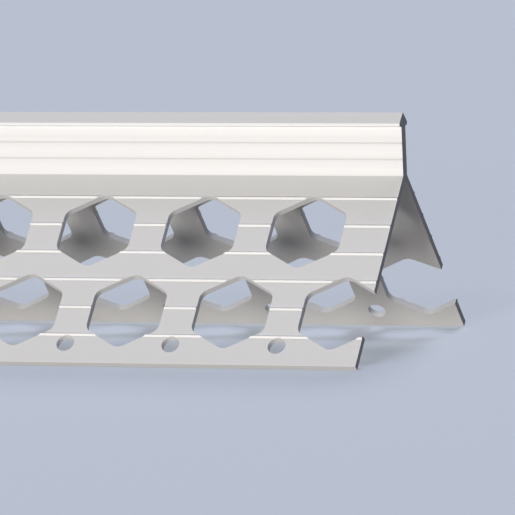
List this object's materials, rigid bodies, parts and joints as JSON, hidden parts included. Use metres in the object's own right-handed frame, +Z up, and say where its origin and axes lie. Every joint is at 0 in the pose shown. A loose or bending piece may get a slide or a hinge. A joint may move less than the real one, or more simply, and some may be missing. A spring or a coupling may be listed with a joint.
{
  "type": "drywall corner bead",
  "caption": "Stock length of white PVC corner bead: an arrow-headed nose on a thin blade above a V of flat wings with staggered hexagonal keying holes and nail holes.",
  "frame": {"origin": "under the middle of the bead, on the plane that the edges of its wings stand on", "axes": "+X along the length towards the end with the first holes, +Z up from the wings to the nose, Y across the corner"},
  "size_m": [2.4384, 0.0902, 0.0667],
  "materials": {
    "white_pvc": "extruded, smooth and matt, with a faint sheen"
  },
  "bodies": {
    "root": {"corner_bead": "white_pvc"}
  },
  "joints": []
}
